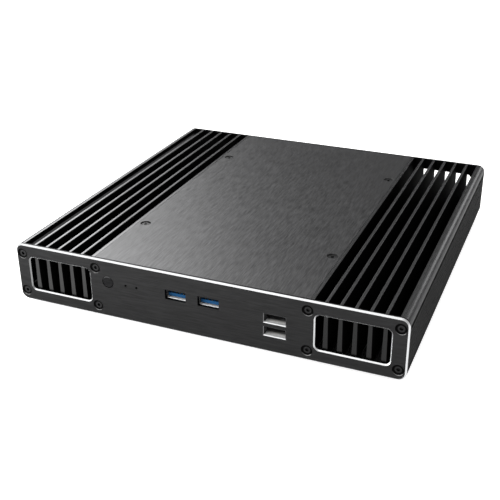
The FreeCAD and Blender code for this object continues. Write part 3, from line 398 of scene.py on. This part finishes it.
FINISHES = {
    "cover": anodised("anodised_cover", (0.055, 0.055, 0.0555), (0.110, 0.110, 0.1115), 1,
                      dress_cover),
    "panel": anodised("anodised_panel", (0.0155, 0.0155, 0.0157), (0.0225, 0.0225, 0.0228), 0,
                      dress_panel),
    "extrusion": anodised("anodised_extrusion", (0.072, 0.072, 0.073), (0.094, 0.094, 0.0955), 1,
                          dress_extrusion),
    "button": anodised("anodised_button", (0.006, 0.006, 0.0062), (0.016, 0.016, 0.0165), 0,
                       dress_button),
    # The panel screws' head rims get painted shade
    "black_oxide": metal("black_oxide_steel", (0.022, 0.022, 0.0225), 0.45, worn=0.6,
                         darken=shade_head_rims),
    "nickel": metal("nickel_plated_shell", (0.78, 0.78, 0.77), 0.38, metallic=0.55),
    # Front socket shells: a lighter, less metallic copy of the nickel plating as painted light,
    # with painted shadow
    "mouth": metal("lit_nickel_plated_mouth", (0.9, 0.9, 0.9), 0.45, metallic=0.3,
                   darken=darken_mouth),
    "zinc": metal("zinc_plated_steel", (0.66, 0.67, 0.68), 0.35),
    "gold": metal("gold_plated_contact", (0.83, 0.61, 0.27), 0.25),
    "brass": metal("turned_brass", (0.72, 0.53, 0.25), 0.32),
    "milled": metal("milled_aluminium", (0.72, 0.73, 0.74), 0.34),
    "blue": plastic("blue_moulding", (0.003, 0.033, 0.088), 0.5, Specular_IOR_Level=0.08),
    "black": plastic("black_moulding", (0.009, 0.009, 0.009), 0.55, Specular_IOR_Level=0.3),
    # Black plastic, darkened further and without reflection as painted shade deep in the USB 2
    # slots
    "tongue": plastic("shaded_black_tongue", (0.001, 0.001, 0.001), 0.7, Specular_IOR_Level=0.02),
    "ivory": plastic("ivory_moulding", (0.62, 0.58, 0.46), 0.45),
    "rubber": plastic("black_rubber", (0.014, 0.014, 0.014), 0.8, 0.7, 0.05),
    "chip": plastic("moulded_chip", (0.018, 0.018, 0.019), 0.6, 0.25),
    "resistor": plastic("ceramic_resistor", (0.028, 0.028, 0.032), 0.35, 0.3),
    "ceramic": plastic("ceramic_capacitor", (0.34, 0.24, 0.15), 0.5, 0.3),
    "die": plastic("silicon_die", (0.09, 0.095, 0.11), 0.12, 2.0, 0.002),
    "board": laminate("green_laminate", (0.012, 0.09, 0.045)),
    "black_board": laminate("black_laminate", (0.014, 0.016, 0.018)),
    # Painted shade: the light pipes are black with no reflection, so the LED holes read as dark
    "pipe": plastic("shaded_light_pipe", (0.001, 0.001, 0.001), 0.6, Specular_IOR_Level=0.0),
    "lamp": plastic("lamp_moulding", (0.80, 0.78, 0.66), 0.35),
    "amber": plastic("amber_lens", (0.75, 0.32, 0.03), 0.25),
    "pad": plastic("grey_thermal_pad", (0.30, 0.32, 0.34), 0.85),
    "ferrite": plastic("grey_ferrite", (0.08, 0.08, 0.085), 0.6),
    "sheath": plastic("cable_sheath", (0.016, 0.016, 0.017), 0.55, 0.9),
}

NODE_FINISHES = {
    "cover": ["top_cover", "bottom_cover"],
    "panel": ["front_panel", "rear_panel"],
    "extrusion": ["left_heatsink", "right_heatsink"],
    "button": ["power_button"],
    "black_oxide": ["front_panel_screws", "rear_panel_screws", "top_cover_screws",
                    "bottom_cover_screws", "drive_screws", "foot_screws"],
    "nickel": ["rear_usb_shell", "rear_video_shells", "rear_network_jack", "rear_power_pin",
               "coin_cell"],
    "mouth": ["front_usb3_shells", "front_usb2_shell"],
    "zinc": ["board_screws", "block_screws", "card_screws"],
    "brass": ["button_board_posts", "usb3_board_posts", "usb2_board_posts", "main_board_posts"],
    "milled": ["processor_block", "capacitors", "storage_drive"],
    "blue": ["front_usb3_tongues", "rear_usb_tongues"],
    "tongue": ["front_usb2_tongues"],
    "black": ["rear_video_tongues", "rear_power_jack", "memory_sockets",
              "card_sockets", "coin_cell_holder", "power_switch_housing"],
    "ivory": ["cable_headers", "power_switch_plunger"],
    "rubber": ["rubber_feet", "aerial_hole_plugs"],
    "board": ["main_board", "memory_modules", "wireless_card", "processor"],
    "black_board": ["usb3_board", "usb2_board", "button_board", "storage_card"],
    "pipe": ["light_pipes"],
    "lamp": ["status_lamps"],
    "pad": ["thermal_pads"],
    "ferrite": ["power_chokes"],
    "sheath": ["switch_cable", "usb3_cable", "usb2_cable", "drive_cable"],
}
for finish, names in NODE_FINISHES.items():
    for name in names:
        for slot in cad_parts[name].material_slots:
            slot.material = FINISHES[finish]


# ---- small solids gathered into pieces ----


class Piece:
    """Small solids gathered into one mesh, in millimetres, that rides on the case."""

    def __init__(self, name, finish, slot):
        self.name, self.finish, self.slot = name, finish, slot
        self.shape = bmesh.new()

    def round_off(self, edges, width):
        """Bevel some edges, each of them once."""
        bmesh.ops.bevel(self.shape, geom=list(dict.fromkeys(edges)), offset=width, segments=2,
                        profile=0.5, affect="EDGES")

    def block(self, middle, sizes, bevel):
        """Box with all its edges rounded. A thin box gets a narrower bevel."""
        whole = Matrix.Translation(middle) @ Matrix.Diagonal((*sizes, 1))
        made = bmesh.ops.create_cube(self.shape, size=1, matrix=whole)["verts"]
        self.round_off((edge for vert in made for edge in vert.link_edges),
                       min(bevel, 0.3 * min(sizes)))

    def rod(self, middle, radius, length, bevel):
        """Upright round bar with bevelled ends."""
        made = bmesh.ops.create_cone(self.shape, cap_ends=True, segments=32, radius1=radius,
                                     radius2=radius, depth=length,
                                     matrix=Matrix.Translation(middle))["verts"]
        self.round_off((edge for vert in made for face in vert.link_faces
                        if len(face.verts) > 4 for edge in face.edges), bevel)

    def strip(self, x, profile, wide, thick):
        """Bent metal strip across X that follows (y, z) points."""
        rows = []
        for index, (y, z) in enumerate(profile):
            before = Vector(profile[max(index - 1, 0)])
            after = Vector(profile[min(index + 1, len(profile) - 1)])
            along = (after - before).normalized()
            off = Vector((-along.y, along.x)) * thick / 2
            rows.append([self.shape.verts.new((x + side * wide / 2, y + up * off.x, z + up * off.y))
                         for side, up in ((-1, -1), (1, -1), (1, 1), (-1, 1))])
        for near, far in zip(rows, rows[1:]):
            for k in range(4):
                self.shape.faces.new((near[k], near[(k + 1) % 4], far[(k + 1) % 4], far[k]))
        self.shape.faces.new(rows[0][::-1])
        self.shape.faces.new(rows[-1])

    def done(self):
        """Make the piece, unless it is empty."""
        if not self.shape.faces:
            self.shape.free()
            return
        bmesh.ops.recalc_face_normals(self.shape, faces=self.shape.faces)
        self.shape.transform(Matrix.Scale(MM, 4))
        mesh = bpy.data.meshes.new(self.name)
        self.shape.to_mesh(mesh)
        self.shape.free()
        mesh.shade_smooth()
        mesh.set_sharp_from_angle(angle=math.radians(35))
        mesh.materials.append(FINISHES[self.finish])
        piece = bpy.data.objects.new(self.name, mesh)
        bpy.context.scene.collection.objects.link(piece)
        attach(piece, "case")


# ---- sockets ----

# How far the front USB 2 tongues reach past their mouths' middles, and how far the middles of the
# rear USB mouths are below the board
TONGUE_REACH, REAR_DROPS = 2.6, (3.9, 11.7)

# Each socket's middle across, and the level of its mouth's middle
USB3_SOCKETS = [(USB3_MIDDLE.x + side * USB3_APART, USB3_MIDDLE.z) for side in (-1, 1)]
USB2_LOW, USB2_HIGH = corners("front_usb2_tongues")
USB2_SOCKETS = [(USB2_MIDDLE.x, level) for level in (USB2_HIGH.z - TONGUE_REACH,
                                                     USB2_LOW.z + TONGUE_REACH)]
REAR_USB = [(centre("rear_usb_shell").x, BOARD_UNDER - drop) for drop in REAR_DROPS]

# Contacts and springs: places across a socket, and bends as depth behind the tongue's or the
# mouth's front and height off the surface
FINGER_PLACES, FINGER_BEND = (-3.5, -1, 1, 3.5), [(0.6, 0.02), (1.1, 0.1), (6.4, 0.1), (7.0, 0)]
SHORT_PLACES, SHORT_BEND = (-4, -2, 0, 2, 4), [(7.4, 0), (7.9, 0.14), (8.3, 0)]
TAB_PLACES = (-3.1, 3.1)
TAB_BEND = [(7.8, 0), (5.2, 0.22), (4.2, 0.34), (3.6, 0.22), (3.2, 0.06)]


def usb_contacts(name, sockets, front, out, face, side):
    """Four long fingers and five short ones on one face of each tongue.

    `front` is the tongue's end, `out` the way out of the socket along Y, `face` the height of
    the contact face over the mouth's middle, and `side` the way that face looks.
    """
    piece = Piece(name, "gold", "brass_post")
    for x, level in sockets:
        for places, bend, wide in ((FINGER_PLACES, FINGER_BEND, 0.9),
                                   (SHORT_PLACES, SHORT_BEND, 0.7)):
            points = [(front - out * depth, level + face + side * rise) for depth, rise in bend]
            for place in places:
                piece.strip(x + place, points, wide, 0.1)
    piece.done()


def usb_springs(name, finish, sockets, front, out, half_tall):
    """Sprung tabs that lean in from the floor and roof of each mouth."""
    piece = Piece(name, finish, "socket_shell")
    for x, level in sockets:
        for side in (-1, 1):
            points = [(front - out * depth, level + side * (half_tall - rise))
                      for depth, rise in TAB_BEND]
            for place in TAB_PLACES:
                piece.strip(x + place, points, 1.9, 0.12)
    piece.done()


def front_of(name):
    """Level along Y of a node's front."""
    return corners(name)[0].y


usb_contacts("front_usb3_contacts", USB3_SOCKETS, front_of("front_usb3_tongues"), -1, 0.1, 1)
usb_contacts("front_usb2_contacts", USB2_SOCKETS, front_of("front_usb2_tongues"), -1, 0.1, -1)
usb_contacts("rear_usb_contacts", REAR_USB, REAR_MOUTH - 1, 1, -0.1, 1)
usb_springs("front_usb3_springs", "mouth", USB3_SOCKETS, front_of("front_usb3_shells"), -1, 2.6)
usb_springs("front_usb2_springs", "mouth", USB2_SOCKETS, front_of("front_usb2_shell"), -1, 2.5)
usb_springs("rear_usb_springs", "nickel", REAR_USB, REAR_MOUTH, 1, 2.5)


def rear(points):
    """(y, z) points from depths behind the rear mouths and drops below the board."""
    return [(REAR_MOUTH - depth, BOARD_UNDER - drop) for depth, drop in points]


def make_network_socket():
    """Eight sprung wires that slope down into the network socket, and its two lamps."""
    across = centre("rear_network_jack").x
    bend = rear([(12.2, 3.7), (9.2, 3.9), (4.7, 5.7), (3.9, 5.8), (3.5, 5.4)])
    wires = Piece("network_contacts", "gold", "brass_post")
    for k in range(8):
        wires.strip(across + 1.02 * (k - 3.5), bend, 0.45, 0.25)
    wires.done()
    lenses = Piece("network_lamps", "amber", "lamp_white")
    for side in (-1, 1):
        lenses.block((across + side * 5.6, REAR_MOUTH + 0.08, BOARD_UNDER - 11.8),
                     (2.6, 0.14, 1.5), 0.06)
    lenses.done()


def make_video_contacts():
    """Two rows of flat contacts on the tongue of the wide and of the small video socket.

    A socket is its contacts in a row, middle, pitch, depth of the contacts' middle, drop, height
    off the tongue's middle, and one contact's width and length.
    """
    piece = Piece("video_contacts", "gold", "brass_post")
    for count, across, pitch, depth, drop, off, wide, long in (
            (9, -24.5, 1.1, 5.6, 2.75, 0.57, 0.45, 7.6), (5, -10, 0.9, 5.3, 2.7, 0.67, 0.4, 6.8)):
        (y, z), = rear([(depth, drop)])
        for k in range(count):
            for side in (-1, 1):
                piece.block((across + pitch * (k - (count - 1) / 2), y, z + side * off),
                            (wide, long, 0.08), 0.02)
    piece.done()


def make_power_spring():
    """Sprung strip under the pin of the power socket."""
    piece = Piece("power_jack_spring", "nickel", "socket_shell")
    bend = rear([(9.8, 8.15), (6.6, 7.75), (4.0, 7.55), (2.6, 7.95), (2.0, 8.1)])
    piece.strip(centre("rear_power_jack").x, bend, 1.6, 0.2)
    piece.done()


make_network_socket()
make_video_contacts()
make_power_spring()


# ---- small parts on the boards ----

LEG_PITCH, PASSIVE_PITCH = 0.8, 1.5

# Nodes that a board's small parts must keep clear of: all but the boards and the case
INNER_NODES = [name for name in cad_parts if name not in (
    "main_board", "usb3_board", "usb2_board", "button_board", "bottom_cover", "top_cover",
    "left_heatsink", "right_heatsink")]


def solids(name):
    """Low and high corners of every separate solid of a node."""
    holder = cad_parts[name]
    shape = bmesh.new()
    shape.from_mesh(holder.data)
    shape.transform(Matrix.Scale(1 / MM, 4) @ holder.matrix_world)
    bmesh.ops.remove_doubles(shape, verts=shape.verts, dist=0.001)
    left = set(shape.verts)
    boxes = []
    while left:
        found, waiting = [], [left.pop()]
        while waiting:
            vert = waiting.pop()
            found.append(vert.co.copy())
            for edge in vert.link_edges:
                other = edge.other_vert(vert)
                if other in left:
                    left.remove(other)
                    waiting.append(other)
        boxes.append(tuple(Vector(pick(co[axis] for co in found) for axis in range(3))
                           for pick in (min, max)))
    shape.free()
    return boxes


class BoardFace:
    """One face of a board, and the free room on it for small parts.

    `reach` is how far out from the face other nodes count as in the way.
    """
    # gaps kept to other nodes and between the parts, and tries at random places for each part
    MARGIN, BETWEEN, TRIES = 0.6, 0.5, 400
    # other nodes that only touch the face don't count, and chips stand off it on their legs
    TOUCH, STAND_OFF = 0.05, 0.12

    def __init__(self, label, area, level, up, reach):
        self.label, self.area, self.level, self.up = label, area, level, up
        self.used = []
        low, high = sorted((level + up * self.TOUCH, level + up * reach))
        self.boxes = [(near, far) for name in INNER_NODES for near, far in solids(name)
                      if near.z < high and far.z > low]

    def blocked(self, x, y, wide, deep):
        """Whether a rectangle meets another node's solid."""
        return any(near.x - self.MARGIN < x + wide / 2 and far.x + self.MARGIN > x - wide / 2
                   and near.y - self.MARGIN < y + deep / 2 and far.y + self.MARGIN > y - deep / 2
                   for near, far in self.boxes)

    def clear(self, x, y, wide, deep):
        """Whether a rectangle keeps away from the spots already used."""
        return all(abs(x - a) > (wide + c) / 2 + self.BETWEEN
                   or abs(y - b) > (deep + d) / 2 + self.BETWEEN for a, b, c, d in self.used)

    def find(self, wide, deep):
        """Middle of a free rectangle, or None where no try finds one."""
        (x0, x1), (y0, y1) = self.area
        for _ in range(self.TRIES):
            x = random.uniform(x0 + wide / 2, x1 - wide / 2)
            y = random.uniform(y0 + deep / 2, y1 - deep / 2)
            if not self.blocked(x, y, wide, deep) and self.clear(x, y, wide, deep):
                self.used.append((x, y, wide, deep))
                return x, y
        return None

    def add_chips(self, chips):
        """Chips with legs along two sides."""
        bodies = Piece(f"{self.label}_chips", "chip", "chip")
        legs = Piece(f"{self.label}_chip_legs", "zinc", "socket_shell")
        for wide, deep, tall in chips:
            spot = self.find(wide + 1.6, deep + 0.6)
            if spot is None:
                continue
            x, y = spot
            foot = self.level + self.up * self.STAND_OFF
            bodies.block((x, y, foot + self.up * tall / 2), (wide, deep, tall), 0.12)
            count = int(deep / LEG_PITCH)
            for k in range(count):
                along = y + LEG_PITCH * (k - (count - 1) / 2)
                for side in (-1, 1):
                    legs.block((x + side * (wide / 2 + 0.3), along, foot), (0.7, 0.34, 0.2), 0.04)
        bodies.done()
        legs.done()

    def add_passives(self, rows):
        """Short rows of capacitors and of resistors in turn, with soldered ends."""
        resistors = Piece(f"{self.label}_resistors", "resistor", "chip")
        capacitors = Piece(f"{self.label}_small_capacitors", "ceramic", "chip")
        ends = Piece(f"{self.label}_solder_ends", "zinc", "socket_shell")
        for index in range(rows):
            count = random.choice((2, 3, 4))
            spot = self.find(2.0, PASSIVE_PITCH * count)
            if spot is None:
                continue
            piece, tall = (resistors, 0.45) if index % 2 else (capacitors, 0.8)
            x, y = spot
            z = self.level + self.up * tall / 2
            for k in range(count):
                along = y + PASSIVE_PITCH * (k - (count - 1) / 2)
                piece.block((x, along, z), (1.1, 0.8, tall), 0.05)
                for side in (-1, 1):
                    ends.block((x + side * 0.7, along, z), (0.3, 0.84, tall), 0.05)
        for piece in (resistors, capacitors, ends):
            piece.done()


main_upper = BoardFace("main_board_upper", ((-49, 49), (19, 117)), BOARD_OVER, 1, 2.6)
main_upper.add_chips([(9, 9, 1.2), (6, 8, 1.4), (5, 5, 1.0), (4, 6, 1.4), (7, 7, 1.2), (4, 4, 0.9)])
main_upper.add_passives(34)

main_lower = BoardFace("main_board_lower", ((-49, 49), (19, 100)), BOARD_UNDER, -1, 2.8)
main_lower.add_chips([(6, 6, 1.1), (4, 6, 1.2), (5, 5, 0.9)])
main_lower.add_passives(22)

usb3_lower = BoardFace("usb3_board_lower", ((-27, 20), (-104, -93)), corners("usb3_board")[0].z,
                       -1, 1.7)
usb3_lower.add_chips([(5, 5, 0.9)])
usb3_lower.add_passives(6)

usb2_upper = BoardFace("usb2_board_upper", ((39.5, 56.5), (-105, -87)), corners("usb2_board")[1].z,
                       1, 2.1)
usb2_upper.add_passives(5)


# ---- modules ----


def make_memory():
    """Four chips under each memory module, and its row of edge contacts."""
    chips = Piece("memory_chips", "chip", "chip")
    fingers = Piece("memory_edge_contacts", "gold", "brass_post")
    across, notch = centre("memory_modules").x, 4
    for tier in (1, 2):
        # the modules hang one below the other, the lower one further back
        y, z = 39.2 + 4 * tier, BOARD_UNDER + 0.8 - 4.6 * tier
        for k in range(4):
            chips.block((across + 15.6 * (k - 1.5), y - 2, z - 0.4), (10.5, 12.5, 0.8), 0.1)
        for k in range(60):
            x = across + 1.05 * (k - 29.5)
            if abs(x - notch) > 1.2:
                fingers.block((x, y + 14.1, z - 0.03), (0.6, 1.6, 0.06), 0.01)
    chips.done()
    fingers.done()


def make_card_parts():
    """Chips of the storage card, and the wireless card's shield with its two aerial plugs."""
    under = corners("storage_card")[0].z
    chips = Piece("storage_card_chips", "chip", "chip")
    for x, wide in ((-26, 18), (-4, 18), (17, 14), (31, 8)):
        chips.block((x, centre("storage_card").y, under - 0.55), (wide, min(wide, 14), 1.1), 0.1)
    chips.done()
    across = centre("wireless_card").x
    can = Piece("wireless_card_shield", "nickel", "socket_shell")
    can.block((across, 44, under - 0.75), (17, 18, 1.5), 0.25)
    for side in (-1, 1):
        can.rod((across + side * 5, 31.2, under - 0.4), 1.1, 0.8, 0.12)
        can.rod((across + side * 5, 31.2, under - 0.6), 0.4, 1.2, 0.08)
    can.done()


def make_processor_parts():
    """Edge of the processor's die, and the capacitors beside it."""
    x, y = -6, centre("processor").y
    base = corners("processor")[1].z - 0.7
    die = Piece("processor_die_edge", "die", "chip")
    for side in (-1, 1):
        die.block((x + side * 8.25, y, base + 0.15), (0.4, 12.6, 0.3), 0.08)
        die.block((x, y + side * 6.25, base + 0.15), (16.4, 0.4, 0.3), 0.08)
    die.done()
    pebbles = Piece("processor_capacitors", "ceramic", "chip")
    for across in (5, 8, 11, 14, 17):
        for along in (-11, -7.5, 7.5, 11):
            pebbles.block((across, y + along, base + 0.2), (1.4, 0.8, 0.5), 0.05)
    pebbles.done()


def make_drive_seams():
    """Seam along each side of the 2.5 inch drive."""
    low, high = corners("storage_drive")
    seams = Piece("storage_drive_seams", "chip", "chip")
    for x in (-44.95, 24.94):
        seams.block((x, (low.y + high.y) / 2, (low.z + high.z) / 2), (0.06, 99, 0.35), 0.01)
    seams.done()


make_memory()
make_card_parts()
make_processor_parts()
make_drive_seams()


# ---- camera, light and floor, in metres ----

# Place, width, height and brightness of each softbox
SOFTBOXES = {
    "key": ((-0.95, 0.75, 0.75), 1.1, 1.1, 3.7),
    "key_core": ((-0.86, 0.82, 0.64), 0.36, 0.36, 9),
    "right_rim": ((0.55, 1.3, 0.46), 0.35, 0.3, 5),
    "overhead": ((-0.35, -0.45, 1.1), 1.3, 1.3, 1.0),
    "left_fill": ((-0.75, -0.75, 0.15), 0.6, 0.28, 32),
    "front_top": ((-0.25, -1.1, 0.75), 0.6, 0.6, 2.0),
}
AIM = Vector((0, 0, 0.02))
WORLD_STRENGTH, FLOOR_GLOW, FLOOR_REACH = 0.68, 0.66, 6


def make_camera():
    """Camera in front of the case, to its right and above it, as in the photograph."""
    camera = bpy.data.cameras.new("camera")
    camera.lens = 62.0
    camera.shift_x, camera.shift_y = -0.0235, -0.0277
    camera.clip_start = 0.01
    holder = bpy.data.objects.new("camera", camera)
    holder.location = (0.1960, -0.5074, 0.2726)
    holder.rotation_euler = (math.radians(64.59), 0, math.radians(22.01))
    bpy.context.scene.collection.objects.link(holder)
    bpy.context.scene.camera = holder


def make_softbox(name, place, wide, tall, radiance):
    """Rectangular light that faces the object. Its power follows from its brightness."""
    light = bpy.data.lights.new(name, "AREA")
    light.shape = "RECTANGLE"
    light.size, light.size_y = wide, tall
    light.energy = radiance * math.pi * wide * tall
    holder = bpy.data.objects.new(name, light)
    holder.location = place
    holder.rotation_euler = (AIM - Vector(place)).to_track_quat("-Z", "Y").to_euler()
    holder.visible_camera = False
    bpy.context.scene.collection.objects.link(holder)


def make_floor():
    """Pale floor that glows faintly, so that it comes out white like the photograph's."""
    mesh = bpy.data.meshes.new("floor")
    shape = bmesh.new()
    bmesh.ops.create_grid(shape, x_segments=1, y_segments=1, size=FLOOR_REACH)
    shape.to_mesh(mesh)
    shape.free()
    floor = bpy.data.objects.new("floor", mesh)
    bpy.context.scene.collection.objects.link(floor)
    paint = Paint("pale_floor", (0.9, 0.9, 0.9), 0.8, Emission_Color=(1, 1, 1, 1),
                  Emission_Strength=FLOOR_GLOW)
    mesh.materials.append(paint.material)


def light_scene():
    """Even white surroundings and the softboxes."""
    world = bpy.data.worlds.new("studio")
    world.use_nodes = True
    background = world.node_tree.nodes["Background"].inputs
    background["Color"].default_value = (1, 1, 1, 1)
    background["Strength"].default_value = WORLD_STRENGTH
    bpy.context.scene.world = world
    for name, settings in SOFTBOXES.items():
        make_softbox(name, *settings)
    bpy.context.scene.view_settings.view_transform = "Standard"


make_camera()
make_floor()
light_scene()
